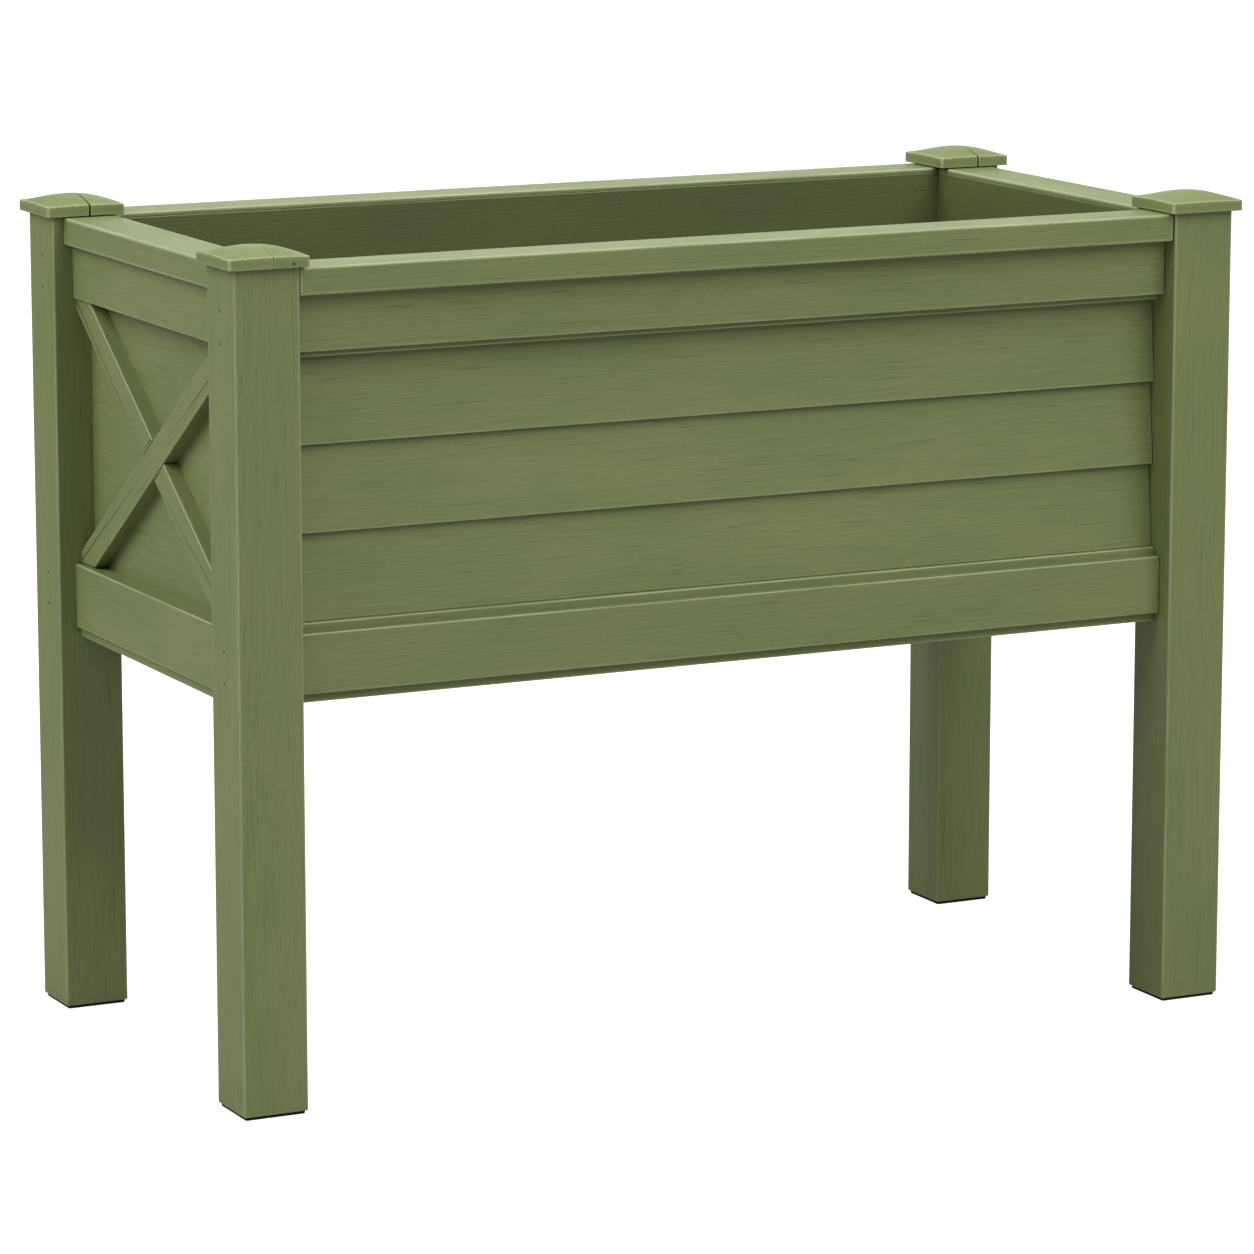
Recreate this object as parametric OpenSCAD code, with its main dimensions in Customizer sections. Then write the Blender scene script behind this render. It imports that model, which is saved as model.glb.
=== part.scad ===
// Raised planter on legs: a box with lap-sided long walls and cross-braced ends,
// carried between four square posts with domed caps.
// Millimetres. X runs along the long side, Y from front to back and Z up. The origin
// is on the ground, under the middle of the box.
// A setback is measured inwards from the outer faces of the posts.

/* [Overall size] */
// Length over the outer faces of the posts
body_length = 1040; // [760:1:1600]
// Width over the outer faces of the posts
body_width = 514; // [400:1:800]
// Height from the ground to the tops of the posts
post_top = 780; // [620:1:950]
// Height of the box, from the tops of the posts to the bottoms of the long walls
box_height = 402.5; // [330:0.5:480]

/* [Posts and feet] */
// Side of the square posts
post_size = 63.5; // [60:0.5:90]
// Chamfer on the long edges of the posts
post_ease = 1.5; // [0.5:0.1:3]
// Height of the foot pads
pad_height = 3; // [2:0.5:8]
// How far a foot pad stands in from the faces of its post
pad_inset = 2; // [1:0.5:6]
// Chamfer round the bottom of a foot pad
pad_chamfer = 1; // [0.5:0.1:1.5]

/* [Post caps] */
// How far a cap overhangs its post
cap_overhang = 7.5; // [4:0.5:12]
// Thickness of a cap at its corners
cap_edge = 9.5; // [7:0.5:16]
// Rise of the domed top from its corners to its crown
cap_rise = 8.5; // [4:0.5:14]
// Width of the first of the two boards that make a cap
cap_board = 43; // [34:0.5:50]
// Opened glue joint between the boards of the rear caps
cap_open_joint = 1.6; // [0.4:0.1:2.5]
// Closed glue joint between the boards of the front caps
cap_tight_joint = 0.3; // [0.1:0.1:1]

/* [Top rails] */
// Height of the top rails
rail_height = 26; // [18:0.5:40]
// How far the top rails lie below the tops of the posts
rail_drop = 1; // [0.5:0.5:4]
// Chamfer on the long edges of the top rails
rail_ease = 2; // [0.5:0.1:4]
// Thickness of the lip of a top rail over the lining
rail_lip = 5; // [4.5:0.5:8]
// Setback of the long top rails
long_rail_setback = 2; // [0.5:0.5:8]
// Width of the long top rails
long_rail_width = 50; // [44:0.5:54]
// Setback of the end top rails
end_rail_setback = 10; // [4:0.5:16]

/* [Long walls] */
// Height of the frieze boards under the long top rails
long_frieze_height = 53; // [40:0.5:80]
// Setback of the frieze boards and aprons of the long walls
long_trim_setback = 18; // [12:0.5:22]
// Setback of the backing rails of the long walls
backing_setback = 28; // [25:0.5:30]
// Strip of backing rail that shows below a frieze board
upper_reveal = 6; // [3:0.5:12]
// Strip of backing rail that shows above an apron
lower_reveal = 8; // [3:0.5:14]
// Strip of backing rail that shows below an apron
under_reveal = 9.5; // [4:0.5:14]
// Height of the aprons of the long walls
long_apron_height = 56; // [40:0.5:80]
// Setback of a siding board at its bottom edge
siding_low_setback = 33.5; // [30:0.5:36]
// Setback of a siding board where its face meets the board above
siding_high_setback = 41; // [38:0.5:42]
// Overlap of one siding board on the next
siding_overlap = 10; // [6:0.5:14]
// Gap in the rabbets of the siding boards
siding_gap = 0.3; // [0.2:0.1:0.8]
// Chamfer on the long edges of the frieze boards and aprons
trim_ease = 1; // [0.3:0.1:2]

/* [End walls] */
// Height of the frieze boards under the end top rails
end_frieze_height = 52; // [40:0.5:80]
// Setback of the end frieze boards
end_frieze_setback = 19; // [14:0.5:24]
// Setback of the end panels
end_panel_setback = 37; // [30:0.5:42]
// Height of the end aprons
end_apron_height = 62; // [40:0.5:80]
// Setback of the end aprons
end_apron_setback = 16.5; // [12:0.5:22]
// Setback of the sills under the end aprons
end_sill_setback = 21; // [18:0.5:26]
// Height of the sills under the end aprons
end_sill_height = 9.5; // [6:0.5:14]
// Width of the braces
brace_width = 29; // [20:0.5:40]
// Thickness of the braces
brace_thickness = 15; // [10:0.5:18]
// Distance from a post to the point where a brace's centre line leaves the field
brace_inset = 10; // [0:0.5:20]

/* [Lining and floor] */
// Thickness of the inner lining boards
lining_thickness = 6; // [4:0.5:8]
// Side of the square cleats that carry the floor
cleat_size = 25; // [18:0.5:35]
// Height of the cleats above the bottoms of the long walls
cleat_lift = 4; // [1:0.5:30]
// Thickness of the floor slats
slat_thickness = 15; // [10:0.5:22]
// Drainage gap beside each floor slat
slat_gap = 9; // [5:0.5:15]
// Gap between the ends of the slats and the lining
slat_clearance = 1; // [0.5:0.5:3]

/* [Dowels and screws] */
// Diameter of the dowels
dowel_d = 10; // [6:0.5:12]
// Depth of a dowel in each of the pieces that it joins
dowel_depth = 20; // [12:0.5:22]
// Depth of a cap dowel in its cap
cap_dowel_depth = 8; // [5:0.5:12]
// Setbacks of the two dowels at each end of a long top rail
long_dowel_setbacks = [15, 36];
// Setbacks of the two dowels at each end of an end top rail
end_dowel_setbacks = [24, 45];
// Shank diameter of the screws
screw_d = 4; // [3:0.5:5]
// Head diameter of the screws
screw_head_d = 6; // [5:0.5:8]
// Height of the tapered screw heads
screw_head_h = 2.5; // [1.5:0.5:4]
// Length of the tapered screw tips
screw_tip = 6; // [3:0.5:10]
// Depth of the screw heads below the wood
screw_sink = 1.5; // [0.5:0.5:3]
// Setback of the frame screws
frame_screw_setback = 34; // [31:0.5:40]
// Length of a frame screw past its post
frame_screw_bite = 36; // [20:1:60]
// Distance between the two frame screws at each backing rail
frame_screw_pitch = 30; // [18:1:36]
// Length of a brace screw in its end panel
brace_screw_bite = 14; // [8:0.5:16]
// Distance of the cleat screws from the ends of a cleat
cleat_screw_end = 60; // [30:1:120]
// Length of a cleat screw past its cleat
cleat_screw_bite = 20; // [10:0.5:22]
// Gap round the screws and dowels in their holes
hole_gap = 0.1; // [0.05:0.05:0.3]

/* [Hidden] */
$fn = 48;
siding_count = 3;
slat_count = 6;
cleat_screw_count = 4;

inner_half_x = body_length / 2 - post_size;
inner_half_y = body_width / 2 - post_size;
post_x = body_length / 2 - post_size / 2;
post_y = body_width / 2 - post_size / 2;

// Heights of the boards, from the rim down
rail_top = post_top - rail_drop;
rail_bottom = rail_top - rail_height;
lining_top = rail_top - rail_lip;
long_frieze_bottom = rail_bottom - long_frieze_height;
upper_backing_bottom = long_frieze_bottom - upper_reveal;
long_wall_bottom = post_top - box_height;
long_apron_bottom = long_wall_bottom + under_reveal;
long_apron_top = long_apron_bottom + long_apron_height;
lower_backing_top = long_apron_top + lower_reveal;
siding_pitch = (upper_backing_bottom - lower_backing_top) / siding_count;
end_frieze_bottom = rail_bottom - end_frieze_height;
end_apron_top = long_apron_top;
end_apron_bottom = end_apron_top - end_apron_height;
end_wall_bottom = end_apron_bottom - end_sill_height;

// Setbacks of the inner layers
long_lining_inner = long_rail_setback + long_rail_width;
long_lining_outer = long_lining_inner - lining_thickness;
end_lining_inner = post_size;
end_lining_outer = end_lining_inner - lining_thickness;
brace_setback = end_panel_setback - brace_thickness;

// Field that the braces cross, and the brace's slope
field_height = end_frieze_bottom - end_apron_top;
field_middle = (end_frieze_bottom + end_apron_top) / 2;
brace_angle = atan2(field_height, 2 * (inner_half_y - brace_inset));
brace_reach = norm([2 * inner_half_y, field_height]);

// Floor
cleat_bottom = long_wall_bottom + cleat_lift;
slat_bottom = cleat_bottom + cleat_size;
floor_half_y = body_width / 2 - long_lining_inner;
slat_width = (2 * inner_half_x - (slat_count + 1) * slat_gap) / slat_count;

// Caps
cap_side = post_size + 2 * cap_overhang;
cap_dome_r = (pow(cap_side, 2) / 2 + pow(cap_rise, 2)) / (2 * cap_rise);

// Screws and dowels
rail_dowel_z = rail_top - rail_height / 2;
end_apron_dowel_zs = [for (k = [1, 3]) end_apron_bottom + k * end_apron_height / 4];
end_apron_dowel_setback = (end_apron_setback + end_panel_setback) / 2;
frame_screw_zs = [for (middle = [(rail_bottom + upper_backing_bottom) / 2,
                                 (long_wall_bottom + lower_backing_top) / 2],
                       k = [-0.5, 0.5]) middle + k * frame_screw_pitch];
frame_screw_length = post_size - screw_sink + frame_screw_bite;
brace_screw_length = brace_thickness - screw_sink + brace_screw_bite;
cleat_screw_length = cleat_size - screw_sink + cleat_screw_bite;
cleat_screw_xs = [for (k = [0 : cleat_screw_count - 1])
    (k / (cleat_screw_count - 1) - 0.5) * 2 * (inner_half_x - cleat_screw_end)];

paint = [0.44, 0.49, 0.32];
inner_paint = [0.33, 0.37, 0.22];
black_rubber = [0.09, 0.09, 0.08];
bare_wood = [0.75, 0.6, 0.42];
zinc = [0.68, 0.68, 0.66];

corners = [
    ["front_left", -1, -1], ["front_right", 1, -1],
    ["rear_left", -1, 1], ["rear_right", 1, 1],
];
// A long wall is drawn at the front, and an end wall at the left; half a turn gives the other
long_sides = [["front", 0], ["rear", 180]];
end_sides = [["left", 0], ["right", 180]];

// A rectangle with its corners cut off by ease
module eased_rectangle(wide, high, ease) {
    polygon([[ease, 0], [wide - ease, 0], [wide, ease], [wide, high - ease],
             [wide - ease, high], [ease, high], [0, high - ease], [0, ease]]);
}

// The section of a top rail, with a rabbet under its inner edge for the top of the lining
module rail_section(wide) {
    step = wide - lining_thickness;
    polygon([[rail_ease, 0], [step, 0], [step, rail_height - rail_lip], [wide, rail_height - rail_lip],
             [wide, rail_height - rail_ease], [wide - rail_ease, rail_height], [rail_ease, rail_height],
             [0, rail_height - rail_ease], [0, rail_ease]]);
}

// A board along X at the front, between two setbacks and two heights
module long_board(outer, inner, bottom, top, ease = 0) {
    translate([-inner_half_x, outer - body_width / 2, bottom])
        rotate([90, 0, 90])
            linear_extrude(2 * inner_half_x)
                if (ease > 0) eased_rectangle(inner - outer, top - bottom, ease);
                else square([inner - outer, top - bottom]);
}

// A board along Y at the left, between two setbacks and two heights
module end_board(outer, inner, bottom, top, ease = 0) {
    translate([outer - body_length / 2, inner_half_y, bottom])
        rotate([90, 0, 0])
            linear_extrude(2 * inner_half_y)
                if (ease > 0) eased_rectangle(inner - outer, top - bottom, ease);
                else square([inner - outer, top - bottom]);
}

// A screw that points along +Z from the plane of the wood, and with gap > 0 the hole for it
module screw(length, gap = 0) {
    head_r = screw_head_d / 2 + gap;
    shank_r = screw_d / 2 + gap;
    mouth = gap > 0 ? 0 : screw_sink;
    rotate_extrude()
        polygon([[0, mouth], [head_r, mouth], [head_r, screw_sink + gap],
                 [shank_r, screw_sink + screw_head_h], [shank_r, screw_sink + length - screw_tip],
                 [gap, screw_sink + length + gap], [0, screw_sink + length + gap]]);
}

// A dowel along +Z that starts at the origin, and with gap > 0 the hole for it
module dowel(length, gap = 0) {
    translate([0, 0, -gap]) cylinder(d = dowel_d + 2 * gap, h = length + 2 * gap);
}

// The four screws of the front left post, which run through it into the long wall
module frame_screw_set(gap = 0) {
    for (z = frame_screw_zs)
        translate([-body_length / 2, frame_screw_setback - body_width / 2, z])
            rotate([0, 90, 0]) screw(frame_screw_length, gap);
}

// The dowels between the front left post and the front top rail
module long_rail_dowel_set(gap = 0) {
    for (setback = long_dowel_setbacks)
        translate([-inner_half_x - dowel_depth, setback - body_width / 2, rail_dowel_z])
            rotate([0, 90, 0]) dowel(2 * dowel_depth, gap);
}

// The dowels between the front left post and the left top rail
module end_rail_dowel_set(gap = 0) {
    for (setback = end_dowel_setbacks)
        translate([setback - body_length / 2, -inner_half_y + dowel_depth, rail_dowel_z])
            rotate([90, 0, 0]) dowel(2 * dowel_depth, gap);
}

// The dowels between the front left post and the left apron
module end_apron_dowel_set(gap = 0) {
    for (z = end_apron_dowel_zs)
        translate([end_apron_dowel_setback - body_length / 2, -inner_half_y + dowel_depth, z])
            rotate([90, 0, 0]) dowel(2 * dowel_depth, gap);
}

// The dowel between the front left post and its cap
module cap_dowel(gap = 0) {
    translate([-post_x, -post_y, post_top - dowel_depth]) dowel(dowel_depth + cap_dowel_depth, gap);
}

// Draws the children, which are drawn at the front left, at the corner (sx, sy)
module at_corner(sx, sy) {
    mirror([sx > 0 ? 1 : 0, 0, 0]) mirror([0, sy > 0 ? 1 : 0, 0]) children();
}

// Draws the children at both ends of a long wall, or on both sides of an end wall
module at_both(along_x) {
    children();
    mirror([along_x ? 1 : 0, along_x ? 0 : 1, 0]) children();
}

// A post's inner corner is cut back for the end of a lining, which hides the post inside the box
module post(sx, sy) {
    color(paint)
        at_corner(sx, sy)
            difference() {
                translate([-body_length / 2, -body_width / 2, pad_height])
                    linear_extrude(post_top - pad_height) eased_rectangle(post_size, post_size, post_ease);
                translate([end_lining_outer - body_length / 2, -floor_half_y, end_wall_bottom])
                    cube([post_size, post_size, lining_top - end_wall_bottom]);
                frame_screw_set(hole_gap);
                long_rail_dowel_set(hole_gap);
                end_rail_dowel_set(hole_gap);
                end_apron_dowel_set(hole_gap);
                cap_dowel(hole_gap);
            }
}

// A foot pad is a low block with its bottom edge chamfered: three crossed prisms make the chamfer
module foot_pad(sx, sy) {
    side = post_size - 2 * pad_inset;
    color(black_rubber)
        translate([sx * post_x - side / 2, sy * post_y - side / 2, 0])
            intersection() {
                rotate([90, 0, 90]) linear_extrude(side) pad_section(side);
                translate([0, side, 0]) rotate([90, 0, 0]) linear_extrude(side) pad_section(side);
                linear_extrude(pad_height) eased_rectangle(side, side, pad_chamfer);
            }
}

// The section of a foot pad, with its two bottom corners cut off
module pad_section(side) {
    polygon([[pad_chamfer, 0], [side - pad_chamfer, 0], [side, pad_chamfer],
             [side, pad_height], [0, pad_height], [0, pad_chamfer]]);
}

// A cap is two glued boards under one shallow dome; turned swaps the joint from Y to X
module post_cap(sx, sy) {
    turned = sx > 0 && sy < 0;
    joint = sy > 0 ? cap_open_joint : cap_tight_joint;
    color(paint)
        difference() {
            translate([sx * post_x, sy * post_y, post_top])
                rotate(turned ? -90 : 0)
                    for (board = [[0, cap_board - joint / 2],
                                  [cap_board + joint / 2, cap_side - cap_board - joint / 2]])
                        intersection() {
                            translate([board[0] - cap_side / 2, -cap_side / 2, 0])
                                cube([board[1], cap_side, cap_edge + cap_rise]);
                            translate([0, 0, cap_edge + cap_rise - cap_dome_r])
                                sphere(r = cap_dome_r, $fn = 200);
                        }
            at_corner(sx, sy) cap_dowel(hole_gap);
        }
}

module top_rail(side) {
    color(paint)
        if (side == "front" || side == "rear")
            rotate(side == "rear" ? 180 : 0)
                difference() {
                    translate([-inner_half_x, long_rail_setback - body_width / 2, rail_bottom])
                        rotate([90, 0, 90]) linear_extrude(2 * inner_half_x) rail_section(long_rail_width);
                    at_both(true) long_rail_dowel_set(hole_gap);
                }
        else
            rotate(side == "right" ? 180 : 0)
                difference() {
                    translate([end_rail_setback - body_length / 2, inner_half_y, rail_bottom])
                        rotate([90, 0, 0])
                            linear_extrude(2 * inner_half_y) rail_section(end_lining_inner - end_rail_setback);
                    at_both(false) end_rail_dowel_set(hole_gap);
                }
}

module frieze_board(side) {
    color(paint)
        if (side == "front" || side == "rear")
            rotate(side == "rear" ? 180 : 0)
                long_board(long_trim_setback, backing_setback, long_frieze_bottom, rail_bottom, trim_ease);
        else
            rotate(side == "right" ? 180 : 0)
                end_board(end_frieze_setback, end_panel_setback, end_frieze_bottom, rail_bottom, trim_ease);
}

module apron(side) {
    color(paint)
        if (side == "front" || side == "rear")
            rotate(side == "rear" ? 180 : 0)
                long_board(long_trim_setback, backing_setback, long_apron_bottom, long_apron_top, trim_ease);
        else
            rotate(side == "right" ? 180 : 0)
                difference() {
                    end_board(end_apron_setback, end_panel_setback, end_apron_bottom, end_apron_top, trim_ease);
                    at_both(false) end_apron_dowel_set(hole_gap);
                }
}

module lining(side) {
    color(inner_paint)
        if (side == "front" || side == "rear")
            rotate(side == "rear" ? 180 : 0)
                difference() {
                    long_board(long_lining_outer, long_lining_inner, long_wall_bottom, lining_top);
                    cleat_screw_set(hole_gap);
                }
        else
            rotate(side == "right" ? 180 : 0)
                translate([end_lining_outer - body_length / 2, -floor_half_y, end_wall_bottom])
                    cube([lining_thickness, 2 * floor_half_y, lining_top - end_wall_bottom]);
}

module upper_backing(turn) {
    color(paint)
        rotate(turn)
            difference() {
                long_board(backing_setback, long_lining_outer, upper_backing_bottom, rail_bottom);
                at_both(true) frame_screw_set(hole_gap);
            }
}

module lower_backing(turn) {
    color(paint)
        rotate(turn)
            difference() {
                long_board(backing_setback, long_lining_outer, long_wall_bottom, lower_backing_top);
                at_both(true) frame_screw_set(hole_gap);
                cleat_screw_set(hole_gap);
            }
}

// Siding board k counts from the top. Its face slopes out towards its bottom edge, and a
// rabbet behind that edge takes the thin top of the board below.
module siding(turn, k) {
    low = upper_backing_bottom - k * siding_pitch;
    high = low + siding_pitch;
    slope = (siding_high_setback - siding_low_setback) / siding_pitch;
    lap = siding_overlap;
    tip = k == 1 ? 0 : lap;
    face_high = [siding_high_setback + slope * tip, high + tip];
    rabbet_low = [siding_high_setback - siding_gap, low];
    rabbet_high = [siding_high_setback + slope * lap - siding_gap, low + lap + siding_gap];
    back = long_lining_outer;
    outline = k < siding_count
        ? [[siding_low_setback, low], rabbet_low, rabbet_high, [back, rabbet_high[1]], [back, high + tip], face_high]
        : [[siding_low_setback, low], [back, low], [back, high + tip], face_high];
    color(paint)
        rotate(turn)
            translate([-inner_half_x, -body_width / 2, 0])
                rotate([90, 0, 90]) linear_extrude(2 * inner_half_x) polygon(outline);
}

module end_panel(turn) {
    color(paint)
        rotate(turn)
            difference() {
                end_board(end_panel_setback, end_lining_outer, end_wall_bottom, rail_bottom);
                brace_screw(hole_gap);
            }
}

module end_sill(turn) {
    color(paint)
        rotate(turn) end_board(end_sill_setback, end_panel_setback, end_wall_bottom, end_apron_bottom);
}

// The field between the end frieze and the end apron, as deep as a brace
module brace_field() {
    end_board(brace_setback, end_panel_setback, end_apron_top, end_frieze_bottom);
}

// A bar of brace stock through the middle of the field; from and to are shares of its half length
module brace_bar(angle, from, to, wide) {
    translate([brace_setback - body_length / 2, 0, field_middle])
        rotate([angle, 0, 0])
            translate([0, from * brace_reach, -wide / 2])
                cube([brace_thickness, (to - from) * brace_reach, wide]);
}

// The full-length brace falls towards the rear of the left end
module long_brace(turn) {
    color(paint)
        rotate(turn)
            difference() {
                intersection() {
                    brace_field();
                    brace_bar(-brace_angle, -1, 1, brace_width);
                }
                brace_screw(hole_gap);
            }
}

// A half brace runs from one corner of the field to the edge of the full-length brace
module half_brace(turn, upper) {
    color(paint)
        rotate(turn)
            difference() {
                intersection() {
                    brace_field();
                    brace_bar(brace_angle, upper ? 0 : -1, upper ? 1 : 0, brace_width);
                }
                brace_bar(-brace_angle, -1, 1, brace_width);
            }
}

// The screw through the middle of the full-length brace into the left end panel
module brace_screw(gap = 0) {
    translate([brace_setback - body_length / 2, 0, field_middle])
        rotate([0, 90, 0]) screw(brace_screw_length, gap);
}

module floor_cleat(turn) {
    color(inner_paint)
        rotate(turn)
            difference() {
                long_board(long_lining_inner, long_lining_inner + cleat_size, cleat_bottom, slat_bottom);
                cleat_screw_set(hole_gap);
            }
}

// The screws through the front cleat and lining into the lower backing rail
module cleat_screw_set(gap = 0) {
    for (x = cleat_screw_xs)
        translate([x, long_lining_inner + cleat_size - body_width / 2, cleat_bottom + cleat_size / 2])
            rotate([90, 0, 0]) screw(cleat_screw_length, gap);
}

// Floor slat k counts from the left
module floor_slat(k) {
    color(inner_paint)
        translate([-inner_half_x + slat_gap + (k - 1) * (slat_width + slat_gap),
                   slat_clearance - floor_half_y, slat_bottom])
            cube([slat_width, 2 * (floor_half_y - slat_clearance), slat_thickness]);
}

module frame_screws() {
    color(zinc) for (c = corners) at_corner(c[1], c[2]) frame_screw_set();
}

module brace_screws() {
    color(zinc) for (s = end_sides) rotate(s[1]) brace_screw();
}

module cleat_screws() {
    color(zinc) for (s = long_sides) rotate(s[1]) cleat_screw_set();
}

module dowels() {
    color(bare_wood)
        for (c = corners)
            at_corner(c[1], c[2]) {
                long_rail_dowel_set();
                end_rail_dowel_set();
                end_apron_dowel_set();
                cap_dowel();
            }
}

for (c = corners) {
    post(c[1], c[2]);
    foot_pad(c[1], c[2]);
    post_cap(c[1], c[2]);
}
for (s = concat(long_sides, end_sides)) {
    top_rail(s[0]);
    frieze_board(s[0]);
    apron(s[0]);
    lining(s[0]);
}
for (s = long_sides) {
    upper_backing(s[1]);
    lower_backing(s[1]);
    floor_cleat(s[1]);
    for (k = [1 : siding_count])
        siding(s[1], k);
}
for (s = end_sides) {
    end_panel(s[1]);
    end_sill(s[1]);
    long_brace(s[1]);
    half_brace(s[1], true);
    half_brace(s[1], false);
}
for (k = [1 : slat_count])
    floor_slat(k);
frame_screws();
brace_screws();
cleat_screws();
dowels();
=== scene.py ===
"""A raised planter on legs, in painted wood, with a studio to show it in.

Every piece of wood is a closed surface: an outline with rounded corners, carried along a
line, whose ends are rounded too. Sizes are in metres. X runs along the long side, Y from
front to back and Z up, with the origin on the ground under the middle of the box.
"""

import math
import zlib

import bpy
import numpy as np
from bpy.props import FloatProperty, FloatVectorProperty, PointerProperty
from mathutils import Matrix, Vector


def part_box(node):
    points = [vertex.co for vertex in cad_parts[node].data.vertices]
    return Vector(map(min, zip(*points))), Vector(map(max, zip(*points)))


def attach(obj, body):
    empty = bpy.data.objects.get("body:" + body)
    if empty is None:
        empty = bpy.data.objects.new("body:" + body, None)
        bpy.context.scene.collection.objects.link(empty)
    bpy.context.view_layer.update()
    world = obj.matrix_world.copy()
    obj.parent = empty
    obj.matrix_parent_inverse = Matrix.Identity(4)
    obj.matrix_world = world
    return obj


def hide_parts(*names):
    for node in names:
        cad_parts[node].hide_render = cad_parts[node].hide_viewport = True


bl_info = {
    "name": "Raised Planter",
    "version": (1, 0, 0),
    "blender": (4, 5, 0),
    "location": "3D View > Sidebar > Planter",
    "description": "Makes the visible pieces of a raised planter on legs and a studio for it",
    "category": "Add Mesh",
}

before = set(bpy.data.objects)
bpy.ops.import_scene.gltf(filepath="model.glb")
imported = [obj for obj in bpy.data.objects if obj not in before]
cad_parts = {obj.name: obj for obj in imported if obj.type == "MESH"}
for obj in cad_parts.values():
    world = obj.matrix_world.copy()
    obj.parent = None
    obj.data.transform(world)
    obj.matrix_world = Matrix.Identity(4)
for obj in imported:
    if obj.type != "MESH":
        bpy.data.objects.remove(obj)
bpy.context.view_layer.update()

X, Y, Z = np.eye(3)
SIDES = {"front": (Y, Z, X), "rear": (-Y, Z, -X), "left": (Z, X, Y), "right": (Z, -X, -Y)}
CORNERS = {"front_left": (-1, -1), "front_right": (1, -1), "rear_left": (-1, 1), "rear_right": (1, 1)}

TINY = 1e-6  # less than this between two places, and they are the same
CREASE = 0.0003  # radius of the corners that hide inside a joint
INNER_CORNER = 0.0004  # radius of the corners of a rabbet or a notch
THIN_EDGE = 0.0006  # radius of the thin edges of the siding
LOWER_EDGE = 0.0012  # radius of the showing lower edges of siding and rails


# ---------------------------------------------------------------- sizes and colours


class PlanterSizes(bpy.types.PropertyGroup):
    """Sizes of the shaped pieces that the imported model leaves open."""

    post_rounding: FloatProperty(
        name="Post edges", description="Radius of the long edges of the posts",
        default=0.0018, min=0.0005, max=0.006, unit="LENGTH")
    rail_rounding: FloatProperty(
        name="Rail edges", description="Radius of the long edges and ends of the top rails",
        default=0.0024, min=0.0005, max=0.006, unit="LENGTH")
    board_rounding: FloatProperty(
        name="Board edges", description="Radius of the edges of the frieze boards, aprons and braces",
        default=0.0013, min=0.0003, max=0.003, unit="LENGTH")
    inner_rounding: FloatProperty(
        name="Inner edges", description="Radius of the edges of the lining and the floor",
        default=0.0009, min=0.0003, max=0.002, unit="LENGTH")
    end_gap: FloatProperty(
        name="End gap", description="Gap between the end of a board and its post",
        default=0.0008, min=0.0, max=0.001, unit="LENGTH")
    # Over the fringe an edge's rubbed paint and painted highlight also fade out.
    fringe: FloatProperty(
        name="Worn fringe", description="Width of the flat strip beside an edge over which its wear fades",
        default=0.0008, min=0.0003, max=0.008, unit="LENGTH")
    dimple_depth: FloatProperty(
        name="Dimple depth", description="Depth of the filled dimples over the screws",
        default=0.0013, min=0.0, max=0.0014, unit="LENGTH")
    dimple_radius: FloatProperty(
        name="Dimple radius", description="Radius of the filled dimples over the screws",
        default=0.0033, min=0.002, max=0.005, unit="LENGTH")
    siding_lean: FloatProperty(
        name="Siding lean", description="How far the face of a siding board leans in over its showing height",
        default=0.0075, min=0.0, max=0.012, unit="LENGTH")
    siding_overlap: FloatProperty(
        name="Siding overlap", description="Overlap of one siding board on the next",
        default=0.010, min=0.004, max=0.014, unit="LENGTH")
    siding_gap: FloatProperty(
        name="Siding gap", description="Gap in the rabbets of the siding boards",
        default=0.0003, min=0.0001, max=0.001, unit="LENGTH")
    brace_width: FloatProperty(
        name="Brace width", description="Width of the braces",
        default=0.029, min=0.015, max=0.045, unit="LENGTH")
    brace_inset: FloatProperty(
        name="Brace inset",
        description="Distance from a post to the point where a brace's centre line leaves its field",
        default=0.010, min=0.0, max=0.02, unit="LENGTH")
    cap_edge: FloatProperty(
        name="Cap thickness", description="Thickness of a post cap at its corners",
        default=0.0100, min=0.006, max=0.014, unit="LENGTH")
    cap_corner: FloatProperty(
        name="Cap corners", description="Radius of the upright corners of a post cap",
        default=0.0026, min=0.001, max=0.008, unit="LENGTH")
    cap_rounding: FloatProperty(
        name="Cap edges", description="Radius of the top edges of a post cap",
        default=0.0008, min=0.0005, max=0.004, unit="LENGTH")
    cap_board: FloatProperty(
        name="Cap board", description="Width of the first of the two boards of a post cap",
        default=0.043, min=0.03, max=0.05, unit="LENGTH")
    cap_open_joint: FloatProperty(
        name="Open cap joint", description="Width of the opened joint of the rear post caps",
        default=0.0016, min=0.0004, max=0.0025, unit="LENGTH")
    cap_tight_joint: FloatProperty(
        name="Tight cap joint", description="Width of the closed joint of the front post caps",
        default=0.0003, min=0.0001, max=0.001, unit="LENGTH")


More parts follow.
